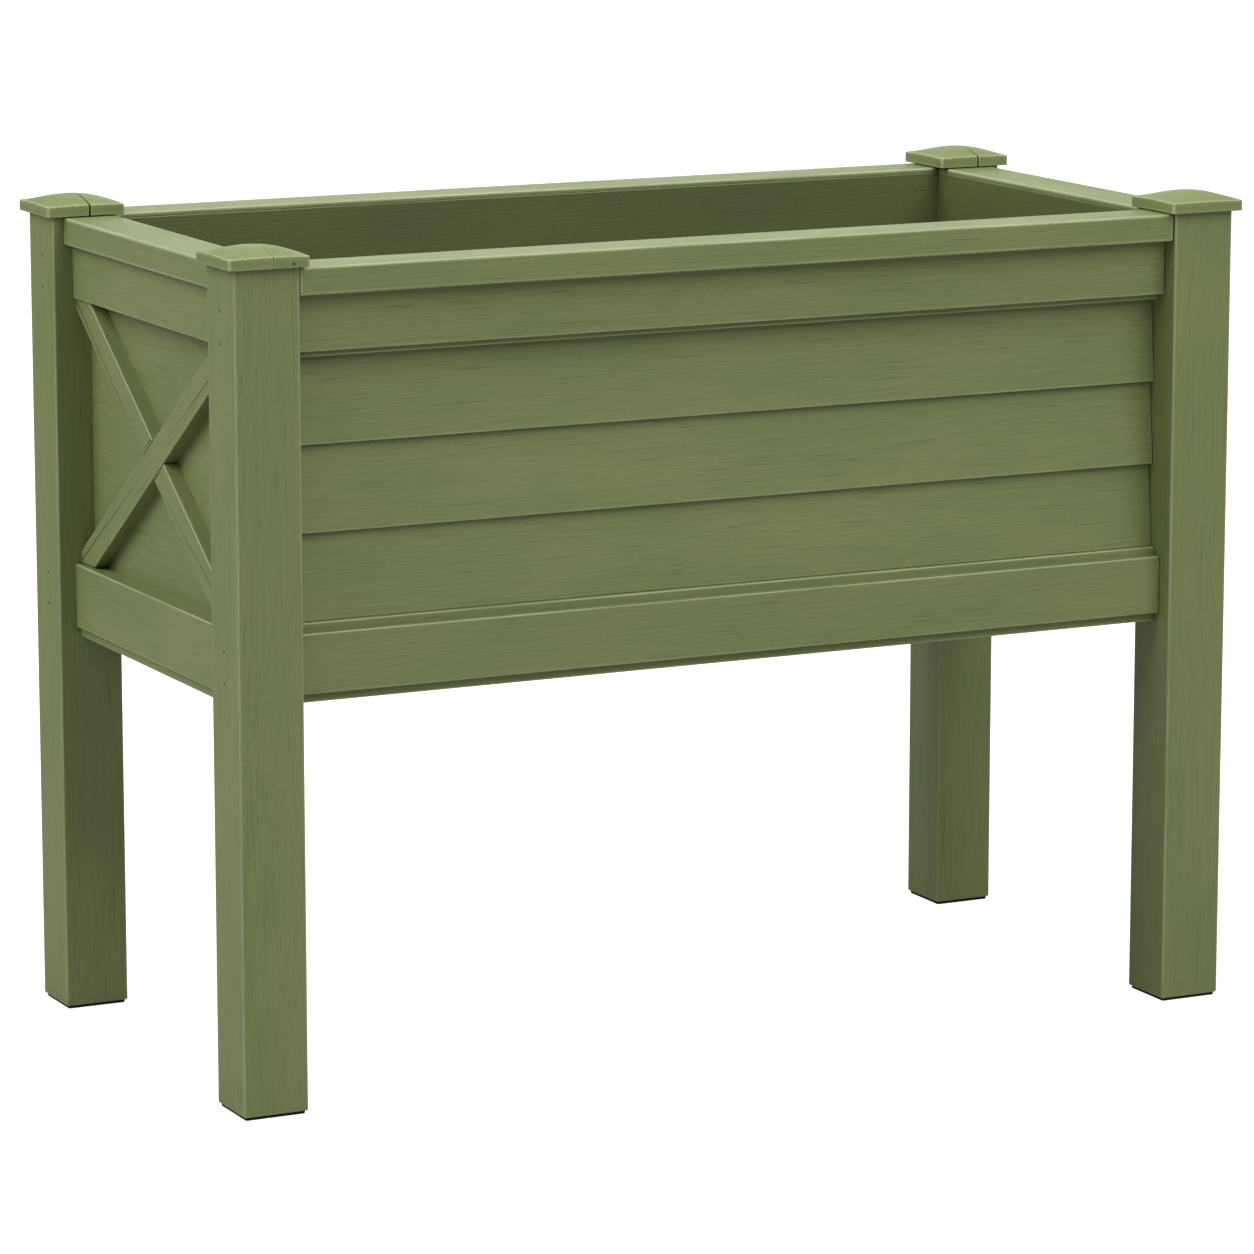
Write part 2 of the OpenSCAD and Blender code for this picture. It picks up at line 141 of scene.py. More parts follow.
class PlanterFinish(bpy.types.PropertyGroup):
    """Colours and surface of the finishes."""

    paint: FloatVectorProperty(
        name="Paint", description="Colour of the paint outside",
        subtype="COLOR", size=3, min=0.0, max=1.0, default=(0.156, 0.186, 0.064))
    paint_cloud: FloatVectorProperty(
        name="Paint clouds", description="Colour of the greener clouds in the paint",
        subtype="COLOR", size=3, min=0.0, max=1.0, default=(0.136, 0.172, 0.056))
    paint_grain: FloatVectorProperty(
        name="Paint in the grain", description="Colour of the paint where it lies thick in the grain",
        subtype="COLOR", size=3, min=0.0, max=1.0, default=(0.082, 0.102, 0.030))
    # Lighter edge paint: partly rubbed paint, partly a painted highlight on the rounded edges.
    paint_edge_and_highlight: FloatVectorProperty(
        name="Paint on edges", description="Colour of the thin, rubbed paint on edges",
        subtype="COLOR", size=3, min=0.0, max=1.0, default=(0.320, 0.360, 0.200))
    # The inside paint is the outside paint made darker as painted shade for the inside of the box.
    inner_paint_shaded: FloatVectorProperty(
        name="Inner paint", description="Colour of the paint inside the box",
        subtype="COLOR", size=3, min=0.0, max=1.0, default=(0.084, 0.101, 0.029))
    bare_wood: FloatVectorProperty(
        name="Bare wood", description="Colour of the unpainted wood",
        subtype="COLOR", size=3, min=0.0, max=1.0, default=(0.52, 0.34, 0.17))
    rubber: FloatVectorProperty(
        name="Foot pads", description="Colour of the foot pads",
        subtype="COLOR", size=3, min=0.0, max=1.0, default=(0.006, 0.006, 0.006))
    zinc: FloatVectorProperty(
        name="Screws", description="Colour of the plated screws",
        subtype="COLOR", size=3, min=0.0, max=1.0, default=(0.55, 0.55, 0.53))
    grain_strength: FloatProperty(
        name="Grain", description="How strongly the grain shows in the colour of the paint",
        subtype="FACTOR", default=0.6, min=0.0, max=1.0)
    # How strongly edges are painted lighter, as rubbed paint and painted highlight together.
    wear_and_highlight_strength: FloatProperty(
        name="Edge wear", description="How strongly the edges are rubbed",
        subtype="FACTOR", default=0.85, min=0.0, max=1.0)
    grain_depth: FloatProperty(
        name="Grain depth", description="Depth of the grain in the surface",
        default=0.00022, min=0.0, max=0.001, precision=5, unit="LENGTH")


class PlanterStudio(bpy.types.PropertyGroup):
    """The floor, the light and the camera."""

    floor_size: FloatProperty(
        name="Floor size", description="Side of the square floor",
        default=60.0, min=10.0, max=200.0, unit="LENGTH")
    floor_colour: FloatVectorProperty(
        name="Floor", description="Colour of the floor",
        subtype="COLOR", size=3, min=0.0, max=1.0, default=(0.40, 0.40, 0.39))
    floor_glow: FloatProperty(
        name="Floor glow", description="How brightly the floor itself shows, without lighting anything",
        default=0.93, min=0.0, max=2.0)
    sky_strength: FloatProperty(
        name="Sky", description="Strength of the even light from all round",
        default=0.40, min=0.0, max=5.0)
    top_power: FloatProperty(
        name="Top light", description="Power of the soft light overhead",
        unit="POWER", default=22.0, min=0.0, max=2000.0)
    left_power: FloatProperty(
        name="Left light", description="Power of the soft light at the left",
        unit="POWER", default=330.0, min=0.0, max=2000.0)
    front_power: FloatProperty(
        name="Front light", description="Power of the soft light at the front",
        unit="POWER", default=275.0, min=0.0, max=2000.0)
    rear_power: FloatProperty(
        name="Rear light", description="Power of the soft light behind",
        unit="POWER", default=30.0, min=0.0, max=2000.0)
    focal_length: FloatProperty(
        name="Focal length", description="Focal length in millimetres on a sensor 36 mm wide",
        default=163.63, min=20.0, max=400.0)


# ---------------------------------------------------------------- surfaces


def edge_wear_and_highlight(angle):
    """How rubbed a rounding is, and how much painted highlight it gets, 0.45 + 0.55 sin(angle), where angle
    goes from 0 to pi across it.
    """
    return 0.45 + 0.55 * np.sin(angle)


def dimple(share, depth, radius):
    """The depth and the slope of a filled dimple at a share of its radius.

    The middle is flat out to half the radius. From there e climbs from 0 to 1 at the rim, the
    depth falls as 1 - e e (3 - 2 e), and the slope is what that formula's derivative gives.
    """
    e = np.clip((share - 0.5) / 0.5, 0, 1)
    return depth * (1 - e * e * (3 - 2 * e)), depth * 6 * e * (1 - e) / (0.5 * radius)


class Outline:
    """A closed outline with rounded corners, held as arrays with one row for each point.

    At a corner P the outline arrives along u and leaves along v, and turns by a. The arc of
    radius r starts r tan(a/2) before P. Its points are P - r m + r n(t), where n(t) is the
    outward normal, which turns from that of u to that of v, and m is the sum of those two
    normals over 1 plus their product. A corner that turns the other way has a negative r.
    A flat point follows each arc and another comes before the next, where the edge's wear and
    painted highlight have faded to nothing. Each lies a fringe away from its arc, or 0.4 of the straight part
    if that is less.
    """

    def __init__(self, corners, rounding, fringe):
        steps = 4  # parts of an arc
        corners = np.asarray(corners, float)
        arriving = corners - np.roll(corners, 1, 0)
        length = np.linalg.norm(arriving, axis=1)
        u = arriving / length[:, None]
        v = np.roll(u, -1, 0)
        turn = np.arctan2(u[:, 0] * v[:, 1] - u[:, 1] * v[:, 0], (u * v).sum(1))
        r = np.broadcast_to(np.asarray(rounding, float), turn.shape) * np.sign(turn)
        reach = r * np.tan(turn / 2)
        room = length - reach - np.roll(reach, 1)
        before = np.minimum(fringe, 0.4 * room)
        after = np.minimum(fringe, 0.4 * np.roll(room, -1))
        n0 = np.stack([u[:, 1], -u[:, 0]], 1)
        n1 = np.roll(n0, -1, 0)
        share = np.linspace(0, 1, steps + 1)
        angle = share * turn[:, None]
        c, s = np.cos(angle), np.sin(angle)
        arc = np.stack([n0[:, :1] * c - n0[:, 1:] * s, n0[:, :1] * s + n0[:, 1:] * c], 2)
        self.per_corner = steps + 3
        self.normal = np.concatenate([arc[:, :1], arc, arc[:, -1:]], 1).reshape(-1, 2)
        slide = np.zeros((len(corners), steps + 3, 2))
        slide[:, 0] = -before[:, None] * u
        slide[:, -1] = after[:, None] * v
        self.slide = slide.reshape(-1, 2)
        # Edge mask for rubbed paint and painted highlight, strongest at the middle of each rounding.
        wear_and_highlight = np.concatenate([[0], edge_wear_and_highlight(np.pi * share), [0]])
        self.wear_and_highlight = np.tile(wear_and_highlight, len(corners))
        self.flat = np.tile(np.r_[True, np.zeros(steps + 1, bool), True], len(corners))
        mitre = (n0 + n1) / (1 + (n0 * n1).sum(1))[:, None]
        self.corner = np.repeat(corners, steps + 3, 0)
        self.mitre = np.repeat(mitre, steps + 3, 0)
        self.r = np.repeat(r, steps + 3)
        self.reach, self.v = reach, v

    def mark(self, edge, distances):
        """Adds flat points on the edge that leaves a corner, at distances from that corner."""
        at = (edge + 1) * self.per_corner
        last = at - 1
        count = len(distances)
        slide = (np.asarray(distances) - self.reach[edge])[:, None] * self.v[edge]
        self.slide = np.insert(self.slide, at, slide, 0)
        for name in ("normal", "corner", "mitre", "r"):
            row = getattr(self, name)[last]
            setattr(self, name, np.insert(getattr(self, name), at, np.repeat(row[None], count, 0), 0))
        self.wear_and_highlight = np.insert(self.wear_and_highlight, at, np.zeros(count))
        self.flat = np.insert(self.flat, at, np.ones(count, bool))

    def inset(self, depth):
        """The points moved inwards by depth, which may be an array with a trailing axis for the points.

        On an arc the radius shrinks by depth, and past its centre the point follows the mitre,
        with a last 0.02 of the radius left so that no two points fall together.
        """
        depth = np.asarray(depth, float)
        plain = self.flat | (self.r <= 0)
        along_mitre = np.where(plain, self.r, np.maximum(depth, self.r))
        along_normal = np.where(plain, self.r - depth, np.maximum(self.r - depth, 0.02 * self.r))
        return (self.corner + self.slide - along_mitre[..., None] * self.mitre
                + along_normal[..., None] * self.normal)


def carried(outline, low, high, ends, fringe, axes, stations=()):
    """An outline carried along a line from low to high, with its ends rounded.

    axes holds the directions of the outline's two coordinates and of the line. In a rounding
    of radius r, at angle t from 0 to a quarter turn, the section lies r sin(t) past its start
    and is inset by r (1 - cos(t)), and its normal leans by t towards the end. ends gives the
    radius at each end, and stations are further places for sections along the line. The flat
    of each end starts with a strip as wide as end_strip.
    """
    p, q, axis = axes
    t = np.linspace(0, np.pi / 2, 5)
    rise, shrink = 1 - np.sin(t), 1 - np.cos(t)
    edge = edge_wear_and_highlight(2 * t)
    end_strip = 0.0012
    r0, r1 = ends
    middle = np.sort(np.concatenate([[low + r0 + fringe], stations, [high - r1 - fringe]]))
    place = np.concatenate([[low], (low + r0 * rise)[::-1], middle, high - r1 * rise, [high]])
    depth = np.concatenate([[r0 + end_strip], (r0 * shrink)[::-1], 0 * middle, r1 * shrink, [r1 + end_strip]])
    lean = np.concatenate([[-np.pi / 2], -t[::-1], 0 * middle, t, [np.pi / 2]])
    worn_and_highlight = np.concatenate([[0], edge[::-1], 0 * middle, edge, [0]])[:, None]
    flat = outline.inset(depth[:, None])
    points = flat[..., :1] * p + flat[..., 1:] * q + place[:, None, None] * axis
    out = outline.normal[:, :1] * p + outline.normal[:, 1:] * q
    normals = np.cos(lean)[:, None, None] * out + np.sin(lean)[:, None, None] * axis
    on_end = np.isclose(np.abs(lean), np.pi / 2)[:, None]
    wear_and_highlight = np.where(on_end, 0.6 * worn_and_highlight, np.maximum(outline.wear_and_highlight, worn_and_highlight))
    return points, normals, wear_and_highlight


def skin(points, normals, wear_and_highlight):
    """Vertices and faces of a closed surface through a stack of rings of points.

    Ring j and point i give vertex j m + i, four neighbours give a face, and the first and last
    rings are closed by a face of their own.
    """
    rings, m = points.shape[:2]
    j = np.arange(rings - 1)[:, None] * m
    i = np.arange(m)[None]
    k = (i + 1) % m
    sides = np.stack([j + i, j + k, j + m + k, j + m + i], 2).reshape(-1, 4)
    first = np.arange(m)[::-1]
    last = np.arange(m) + (rings - 1) * m
    faces = sides.tolist() + [first.tolist(), last.tolist()]
    return points.reshape(-1, 3), faces, normals.reshape(-1, 3), wear_and_highlight.reshape(-1)


def make_piece(name, surface, grain_axes, slot, node):
    """Makes an object from a skin, in the finish of its slot, to stand for the given node.

    One attribute, the edge mask, says how rubbed a point is and how much painted highlight lies
    on it. The attribute grain holds the point's place along the grain and in the two directions
    across it, moved by an amount that depends on the piece's name, so that no two boards are cut
    from the same tree.
    """
    material = finish(slot)
    points, faces, normals, wear_and_highlight = surface
    mesh = bpy.data.meshes.new(name)
    mesh.from_pydata(points.tolist(), [], faces)
    mesh.shade_smooth()
    normals = normals / np.linalg.norm(normals, axis=1, keepdims=True)
    mesh.normals_split_custom_set_from_vertices(normals.tolist())
    rng = np.random.default_rng(zlib.crc32(name.encode()))
    angle = rng.uniform(0, 2 * np.pi)
    pith = rng.uniform(0.03, 0.11) * np.array([np.cos(angle), np.sin(angle)])
    middle = points.mean(0)
    shift = np.array([rng.uniform(-9, 9), pith[0], pith[1]])
    grain = np.stack([(points - middle) @ axis for axis in grain_axes], 1) + shift
    for label, kind, field, values in (("grain", "FLOAT_VECTOR", "vector", grain),
                                       ("wear_and_highlight", "FLOAT", "value", wear_and_highlight)):
        attribute = mesh.attributes.new(label, kind, "POINT")
        attribute.data.foreach_set(field, values.astype(np.float32).ravel())
    mesh.materials.append(material)
    mesh.update()
    piece = bpy.data.objects.new(name, mesh)
    bpy.context.scene.collection.objects.link(piece)
    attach(piece, "root")
    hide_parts(node)


def spans(node, axes):
    """The lowest and highest place of a node along each of three directions."""
    low, high = (np.array(corner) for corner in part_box(node))
    ends = np.stack([np.stack([low, high]) @ np.abs(axis) * axis.sum() for axis in axes])
    return np.sort(ends, 1)


def rectangle(p, q):
    """The corners of a rectangle, anticlockwise."""
    return np.array([(p[0], q[0]), (p[1], q[0]), (p[1], q[1]), (p[0], q[1])])


def sizes():
    """The sizes in the current scene."""
    return bpy.context.scene.planter_sizes


def straight_board(node, corners, rounding, end_rounding, axes, along, slot="painted_outside"):
    """A straight board with the given section, in the place of a node, with a small gap at each end."""
    s = sizes()
    outline = Outline(corners, rounding, s.fringe)
    surface = skin(*carried(outline, along[0] + s.end_gap, along[1] - s.end_gap,
                            (end_rounding, end_rounding), s.fringe, axes))
    make_piece(node + "_wood", surface, (axes[2], axes[0], axes[1]), slot, node)


def plank(node, side, rounding, end_rounding, slot="painted_outside"):
    """A straight board with a rectangular section, in the place of a node."""
    axes = SIDES[side]
    p, q, along = spans(node, axes)
    straight_board(node, rectangle(p, q), rounding, end_rounding, axes, along, slot)


# ---------------------------------------------------------------- finishes


def add(tree, kind, inputs=None, **settings):
    """Adds a shader node. An input is a constant, or an output that is linked to it."""
    made = tree.nodes.new(kind)
    for key, value in settings.items():
        setattr(made, key, value)
    for key, value in (inputs or {}).items():
        if isinstance(value, bpy.types.NodeSocket):
            tree.links.new(value, made.inputs[key])
        else:
            made.inputs[key].default_value = value
    return made


def mix(tree, share, first, second):
    """The output of a colour mix."""
    return add(tree, "ShaderNodeMix", {0: share, 6: first, 7: second}, data_type="RGBA").outputs[2]


def spread(tree, value, low, high, to_low=0.0, to_high=1.0):
    """The output of a map from one range to another, held inside the second."""
    return add(tree, "ShaderNodeMapRange", {0: value, 1: low, 2: high, 3: to_low, 4: to_high}).outputs[0]


def times(tree, value, other):
    """The output of a product."""
    return add(tree, "ShaderNodeMath", {0: value, 1: other}, operation="MULTIPLY").outputs[0]


def plus(tree, value, other):
    """The output of a sum."""
    return add(tree, "ShaderNodeMath", {0: value, 1: other}, operation="ADD").outputs[0]


def vectors(tree, operation, vector, other):
    """The output of a sum, difference or product of two vectors, coordinate by coordinate."""
    return add(tree, "ShaderNodeVectorMath", {0: vector, 1: other}, operation=operation).outputs[0]


def stretched(tree, vector, along, across):
    """Grain coordinates scaled along and across the grain."""
    return vectors(tree, "MULTIPLY", vector, (along, across, across))


def wandering(tree, vector, along, across, reach):
    """Grain coordinates pushed sideways by a noise, so that the grain wanders."""
    push = add(tree, "ShaderNodeTexNoise",
               {"Vector": stretched(tree, vector, along, across), "Scale": 1.0, "Detail": 2.0}).outputs[1]
    push = vectors(tree, "SUBTRACT", push, (0.5, 0.5, 0.5))
    push = vectors(tree, "MULTIPLY", push, (0.0, reach, reach))
    return vectors(tree, "ADD", vector, push)


def noise(tree, vector, detail=2.0, roughness=0.5, scale=1.0):
    """The output of a noise texture."""
    return add(tree, "ShaderNodeTexNoise",
               {"Vector": vector, "Scale": scale, "Detail": detail, "Roughness": roughness}).outputs[0]


def solid(colour):
    """A colour with its alpha."""
    return (*colour, 1.0)


def new_finish(name):
    """An empty material, with its tree and its surface shader."""
    material = bpy.data.materials.new(name)
    material.use_nodes = True
    tree = material.node_tree
    shader = tree.nodes["Principled BSDF"]
    return material, tree, shader


def dress(tree, shader, tone, roughness, height, strength, distance):
    """Links a colour, a roughness and a raised surface to the surface shader."""
    tree.links.new(tone, shader.inputs["Base Color"])
    tree.links.new(roughness, shader.inputs["Roughness"])
    bump = add(tree, "ShaderNodeBump", {"Strength": strength, "Distance": distance, "Height": height})
    tree.links.new(bump.outputs[0], shader.inputs["Normal"])


def painted_wood(name, colour, cloud, grain_colour, edge_and_highlight_colour, grain_strength, wear_and_highlight_strength, depth):
    """Satin paint over softwood.

    Growth rings round the pith and long fibres raise the surface a little, dark paint lies in
    the grain and in short checks, greener clouds drift along the boards, a fine speckle is
    painted lighter as painted glints, and edges are painted lighter in places, partly as rubbed
    paint and partly as a painted highlight.
    """
    material, tree, shader = new_finish(name)
    grain = add(tree, "ShaderNodeAttribute", attribute_name="grain").outputs["Vector"]
    wear_and_highlight = add(tree, "ShaderNodeAttribute", attribute_name="wear_and_highlight").outputs["Fac"]
    grain = wandering(tree, grain, 3.0, 13.0, 0.011)
    grain = wandering(tree, grain, 24.0, 130.0, 0.0009)
    rings = add(tree, "ShaderNodeTexWave",
                {"Vector": stretched(tree, grain, 0.05, 1.0), "Scale": 74.0, "Distortion": 6.0,
                 "Detail": 3.0, "Detail Scale": 0.5, "Detail Roughness": 0.6},
                wave_type="RINGS", rings_direction="X").outputs["Fac"]
    fibres = noise(tree, stretched(tree, grain, 18.0, 900.0), 3.0, 0.62)
    streaks = noise(tree, stretched(tree, grain, 7.0, 330.0), 3.0, 0.60)
    checks = noise(tree, stretched(tree, grain, 11.0, 620.0), 1.0, 0.5)
    clouds = noise(tree, stretched(tree, grain, 5.0, 15.0), 3.0, 0.5)
    speckle = noise(tree, stretched(tree, grain, 160.0, 1300.0), 2.0, 0.6)
    pale = solid([min(1.0, 1.20 * c) for c in colour])
    tone = mix(tree, spread(tree, clouds, 0.36, 0.64), solid(colour), solid(cloud))
    tone = mix(tree, spread(tree, fibres, 0.30, 0.52, 0.45 * grain_strength, 0.0), tone, pale)
    # The speckle layer paints light specks in the edge colour, as painted glints.
    for texture, low, high, share, over in (
            (streaks, 0.53, 0.70, 0.26, grain_colour), (rings, 0.45, 1.0, 0.07, grain_colour),
            (fibres, 0.55, 0.68, 0.62, grain_colour), (checks, 0.685, 0.715, 0.95, grain_colour),
            (speckle, 0.56, 0.70, 0.16, edge_and_highlight_colour)):
        tone = mix(tree, spread(tree, texture, low, high, 0.0, share * grain_strength), tone, solid(over))
    # Edges are painted lighter here: partly rubbed paint, partly a painted highlight standing in for light on
    # the roundings.
    rubbed_and_highlight = times(tree, wear_and_highlight, spread(tree, streaks, 0.34, 0.6, 0.35, 1.0))
    tone = mix(tree, times(tree, rubbed_and_highlight, wear_and_highlight_strength), tone, solid(edge_and_highlight_colour))
    roughness = plus(tree, plus(tree, times(tree, fibres, 0.18), times(tree, clouds, 0.14)), 0.34)
    height = plus(tree, plus(tree, times(tree, rings, 0.25), fibres), times(tree, speckle, 0.25))
    dress(tree, shader, tone, roughness, height, 0.6, depth)
    shader.inputs["IOR"].default_value = 1.47
    shader.inputs["Specular IOR Level"].default_value = 0.42
    return material


def raw_wood(name, colour):
    """Unpainted turned beech: fine rings and short dark pores along the dowel."""
    material, tree, shader = new_finish(name)
    place = add(tree, "ShaderNodeTexCoord").outputs["Object"]
    rings = add(tree, "ShaderNodeTexWave", {"Vector": place, "Scale": 90.0, "Distortion": 4.0, "Detail": 2.0},
                wave_type="BANDS", bands_direction="Z").outputs["Fac"]
    pores = noise(tree, place, 3.0, 0.6, 900.0)
    dark = solid([0.6 * c for c in colour])
    tone = mix(tree, times(tree, rings, 0.35), solid(colour), dark)
    tone = mix(tree, times(tree, spread(tree, pores, 0.55, 0.75), 0.4), tone, dark)
    dress(tree, shader, tone, spread(tree, pores, 0.2, 0.8, 0.55, 0.75), pores, 0.4, 0.0002)
    return material


def moulded_rubber(name, colour):
    """Near-black rubber with a fine moulded tooth and dusty patches."""
    material, tree, shader = new_finish(name)
    place = add(tree, "ShaderNodeTexCoord").outputs["Object"]
    tooth = noise(tree, place, 3.0, 0.6, 1400.0)
    dust = noise(tree, place, 3.0, 0.6, 60.0)
    dusty = solid([0.012 + c for c in colour])
    tone = mix(tree, spread(tree, dust, 0.45, 0.8, 0.0, 0.5), solid(colour), dusty)
    dress(tree, shader, tone, spread(tree, dust, 0.3, 0.7, 0.6, 0.85), tooth, 0.5, 0.0001)
    shader.inputs["Specular IOR Level"].default_value = 0.2
    return material


def plated_steel(name, colour):
    """Zinc-plated steel with cloudy passivation and fine turning marks."""
    material, tree, shader = new_finish(name)
    place = add(tree, "ShaderNodeTexCoord").outputs["Object"]
    clouds = noise(tree, place, 3.0, 0.6, 260.0)
    marks = noise(tree, place, 2.0, 0.6, 4200.0)
    tone = mix(tree, spread(tree, clouds, 0.4, 0.7), solid(colour), solid([0.82 * c for c in colour]))
    dress(tree, shader, tone, spread(tree, clouds, 0.3, 0.7, 0.3, 0.5), marks, 0.3, 0.00005)
    shader.inputs["Metallic"].default_value = 1.0
    return material


def finish(name):
    """The material for a slot, made the first time that it is asked for."""
    label = "planter_" + name
    found = bpy.data.materials.get(label)
    if found:
        return found
    f = bpy.context.scene.planter_finish
    if name == "painted_outside":
        return painted_wood(label, f.paint, f.paint_cloud, f.paint_grain, f.paint_edge_and_highlight,
                            f.grain_strength, f.wear_and_highlight_strength, f.grain_depth)
    # Painted shade: inside the box the paint is a darker copy of the outside paint, with softer edge wear and
    # highlight.
    if name == "painted_inside":
        return painted_wood(label, f.inner_paint_shaded, [0.85 * c for c in f.inner_paint_shaded], f.paint_grain,
                            f.paint_edge_and_highlight, f.grain_strength, 0.5 * f.wear_and_highlight_strength, f.grain_depth)
    if name == "bare_wood":
        return raw_wood(label, f.bare_wood)
    if name == "rubber_pad":
        return moulded_rubber(label, f.rubber)
    if name == "zinc_screw":
        return plated_steel(label, f.zinc)
    raise RuntimeError("no finish is named " + name)


# ---------------------------------------------------------------- pieces


class PLANTER_OT_posts(bpy.types.Operator):
    """Makes the four square posts, with the filled dimples over their screws"""

    bl_idname = "planter.posts"
    bl_label = "Posts"

    def execute(self, context):
        """A post is a rounded square carried upwards. Round each screw its outer face sinks by
        the depth of a dimple. Beside the lining the square gives way to an outline with a notch
        for the lining's end."""
        s = sizes()
        steps = np.array([0, 0.3, 0.5, 0.62, 0.74, 0.86, 1.0, 1.25]) * s.dimple_radius
        steps = np.concatenate([-steps[:0:-1], steps])
        head_ys, head_zs = self.screw_places()
        top_radius = 0.0008
        slant = 0.0003  # height over which the post changes to its notched outline
        axes = (X, Y, Z)
        for corner, (sx, sy) in CORNERS.items():
            node = "post_" + corner
            p, q, up = spans(node, axes)
            y = head_ys[head_ys * sy > 0].mean()
            lining = np.array(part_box("lining_right" if sx > 0 else "lining_left"))
            notch = np.array([lining[(sx + 1) // 2, 0], lining[(sy + 1) // 2, 1]])
            foot, top = lining[:, 2]
            stations = np.append(head_zs[:, None] + steps, [foot - slant, foot, top, top + slant])
            plain, cut = (carried(outline, *up, (s.post_rounding, top_radius), s.fringe, axes, stations)
                          for outline in self.outlines(p, q, (sx, sy), notch, y + steps))
            height = plain[0][:, 0, 2]
            beside = (height > foot - TINY) & (height < top + TINY)
            points, normals, wear_and_highlight = (np.where(beside.reshape((-1,) + (1,) * (one.ndim - 1)), other, one)
                                     for one, other in zip(plain, cut))
            face = normals @ (sx * X) > 0.999
            dy = points[..., 1] - y
            dz = points[..., 2][..., None] - head_zs
            dz = np.take_along_axis(dz, np.abs(dz).argmin(-1)[..., None], -1)[..., 0]
            far = np.hypot(dy, dz)
            sunk, slope = dimple(far / s.dimple_radius, s.dimple_depth, s.dimple_radius)
            points = points - (sx * sunk * face)[..., None] * X
            away = np.stack([0 * far, dy, dz], -1) / np.maximum(far, TINY)[..., None]
            normals = normals - (slope * face)[..., None] * away
            make_piece(node + "_wood", skin(points, normals, 0.6 * wear_and_highlight), (Z, X, Y), "painted_outside", node)
        return {"FINISHED"}

    @staticmethod
    def outlines(p, q, outward, notch, dimples):
        """The plain outline of a post and the notched one, point for point.

        The corners are turned until the post's inner corner is corner 2. The notch puts three
        corners in its place, and in the plain outline a row of flat points on each side of it
        stands in for the other two. The outer face is the edge after corner 0 or corner 3, and
        dimples holds places along Y for further points on it.
        """
        s = sizes()
        corners = rectangle(p, q)
        inner = np.array([p[0] if outward[0] > 0 else p[1], q[0] if outward[1] > 0 else q[1]])
        corners = np.roll(corners, 2 - np.abs(corners - inner).sum(1).argmin(), 0)
        first, last = np.array([notch[0], inner[1]]), np.array([inner[0], notch[1]])
        face = 0
        if abs(corners[1][0] - inner[0]) < TINY:
            first, last, face = last, first, 3
        on_face = np.sort(np.abs(dimples - corners[face][1]))
        r = s.post_rounding
        reach = r + 2 * s.fringe
        plain = Outline(corners, r, s.fringe)
        count = plain.per_corner
        if face == 3:
            plain.mark(3, on_face)
        plain.mark(2, np.linspace(reach, np.linalg.norm(last - inner), count))
        to_notch, to_inner = np.linalg.norm(first - corners[1]), np.linalg.norm(inner - corners[1])
        plain.mark(1, np.linspace(to_notch, to_inner - reach, count))
        if face == 0:
            plain.mark(0, on_face)
        notched = Outline([corners[0], corners[1], first, notch, last, corners[3]],
                          [r, r, INNER_CORNER, CREASE, INNER_CORNER, r], s.fringe)
        notched.mark(5 if face == 3 else 0, on_face)
        return plain, notched

    @staticmethod
    def screw_places():
        """The places along Y of the two columns of screws in the left posts, and the heights of
        their heads, from the screws' own mesh."""
        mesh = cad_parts["frame_screws"].data
        points = np.empty(len(mesh.vertices) * 3)
        mesh.vertices.foreach_get("co", points)
        points = points.reshape(-1, 3)
        mouth = points[points[:, 0] < points[:, 0].min() + 1e-4]
        ys = np.array([mouth[mouth[:, 1] < 0, 1].mean(), mouth[mouth[:, 1] > 0, 1].mean()])
        zs = np.sort(mouth[:, 2])
        cuts = np.flatnonzero(np.diff(zs) > 0.01) + 1
        return ys, np.array([group.mean() for group in np.split(zs, cuts)])


class PLANTER_OT_foot_pads(bpy.types.Operator):
    """Makes the rubber pads under the posts"""

    bl_idname = "planter.foot_pads"
    bl_label = "Foot pads"

    def execute(self, context):
        """A pad is a low rounded square carried upwards, with a wide rounding at its bottom."""
        corner_radius, bottom_radius, top_radius, strip = 0.0022, 0.0011, 0.0004, 0.0003
        axes = (X, Y, Z)
        for corner in CORNERS:
            node = "foot_pad_" + corner
            p, q, up = spans(node, axes)
            outline = Outline(rectangle(p, q), corner_radius, sizes().fringe)
            surface = skin(*carried(outline, up[0], up[1], (bottom_radius, top_radius), strip, axes))
            make_piece(node + "_rubber", surface, axes, "rubber_pad", node)
        return {"FINISHED"}


